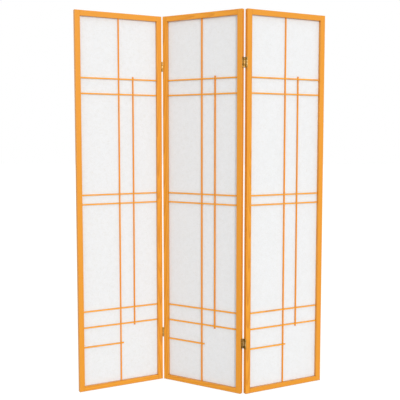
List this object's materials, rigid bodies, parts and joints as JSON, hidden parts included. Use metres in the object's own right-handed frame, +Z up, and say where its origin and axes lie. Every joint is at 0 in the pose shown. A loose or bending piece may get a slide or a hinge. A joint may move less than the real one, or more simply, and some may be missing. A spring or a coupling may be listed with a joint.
{
  "type": "shoji folding screen",
  "caption": "Free-standing shoji folding screen: tall wooden frames with a thin asymmetric lattice over translucent paper, joined by double-action hinges.",
  "frame": {"origin": "on the floor under the centre of the centre panel, which is the centre of the standing zigzag", "axes": "+Z up along the panels' height, +X to the right along the zigzag, +Y from front to back"},
  "size_m": [1.1706, 0.2368, 1.784],
  "materials": {
    "frame_wood": "satin lacquer",
    "lattice_wood": "satin lacquer",
    "dowel_wood": "unfinished",
    "shoji_paper": "matte fibrous",
    "hinge_brass": "antique"
  },
  "bodies": {
    "left_panel": {"left_panel_left_stile": "frame_wood", "left_panel_right_stile": "frame_wood", "left_panel_top_rail": "frame_wood", "left_panel_bottom_rail": "frame_wood", "left_panel_long_upright": "lattice_wood", "left_panel_short_upright": "lattice_wood", "left_panel_high_pair_top_bar": "lattice_wood", "left_panel_high_pair_low_bar": "lattice_wood", "left_panel_mid_pair_top_bar": "lattice_wood", "left_panel_mid_pair_low_bar": "lattice_wood", "left_panel_low_pair_top_bar": "lattice_wood", "left_panel_low_pair_low_bar": "lattice_wood", "left_panel_short_cross_bar": "lattice_wood", "left_panel_paper": "shoji_paper", "left_panel_paper_beads": "frame_wood", "left_panel_dowels": "dowel_wood", "left_panel_hinge_screws": "hinge_brass", "left_fold_outer_leaves": "hinge_brass"},
    "centre_panel": {"centre_panel_left_stile": "frame_wood", "centre_panel_right_stile": "frame_wood", "centre_panel_top_rail": "frame_wood", "centre_panel_bottom_rail": "frame_wood", "centre_panel_long_upright": "lattice_wood", "centre_panel_short_upright": "lattice_wood", "centre_panel_high_pair_top_bar": "lattice_wood", "centre_panel_high_pair_low_bar": "lattice_wood", "centre_panel_mid_pair_top_bar": "lattice_wood", "centre_panel_mid_pair_low_bar": "lattice_wood", "centre_panel_low_pair_top_bar": "lattice_wood", "centre_panel_low_pair_low_bar": "lattice_wood", "centre_panel_short_cross_bar": "lattice_wood", "centre_panel_paper": "shoji_paper", "centre_panel_paper_beads": "frame_wood", "centre_panel_dowels": "dowel_wood", "centre_panel_hinge_screws": "hinge_brass", "left_fold_inner_leaves": "hinge_brass", "right_fold_inner_leaves": "hinge_brass"},
    "right_panel": {"right_panel_left_stile": "frame_wood", "right_panel_right_stile": "frame_wood", "right_panel_top_rail": "frame_wood", "right_panel_bottom_rail": "frame_wood", "right_panel_long_upright": "lattice_wood", "right_panel_short_upright": "lattice_wood", "right_panel_high_pair_top_bar": "lattice_wood", "right_panel_high_pair_low_bar": "lattice_wood", "right_panel_mid_pair_top_bar": "lattice_wood", "right_panel_mid_pair_low_bar": "lattice_wood", "right_panel_low_pair_top_bar": "lattice_wood", "right_panel_low_pair_low_bar": "lattice_wood", "right_panel_short_cross_bar": "lattice_wood", "right_panel_paper": "shoji_paper", "right_panel_paper_beads": "frame_wood", "right_panel_dowels": "dowel_wood", "right_panel_hinge_screws": "hinge_brass", "right_fold_outer_leaves": "hinge_brass"},
    "left_fold_link": {"left_fold_links": "hinge_brass", "left_fold_pins": "hinge_brass"},
    "right_fold_link": {"right_fold_links": "hinge_brass", "right_fold_pins": "hinge_brass"}
  },
  "joints": [
    {"name": "left_fold_front_pin", "type": "hinge", "parent": "centre_panel", "child": "left_fold_link", "pos_m": [-0.1961, 0.097, 0.892], "axis": [0, 0, 1], "range_deg": [-58.4, 121.6]},
    {"name": "left_fold_back_pin", "type": "hinge", "parent": "left_fold_link", "child": "left_panel", "pos_m": [-0.20683, 0.1162, 0.892], "axis": [0, 0, 1], "range_deg": [-90, 0]},
    {"name": "right_fold_back_pin", "type": "hinge", "parent": "centre_panel", "child": "right_fold_link", "pos_m": [0.1961, -0.097, 0.892], "axis": [0, 0, 1], "range_deg": [-58.4, 121.6]},
    {"name": "right_fold_front_pin", "type": "hinge", "parent": "right_fold_link", "child": "right_panel", "pos_m": [0.20683, -0.1162, 0.892], "axis": [0, 0, 1], "range_deg": [-90, 0]}
  ]
}
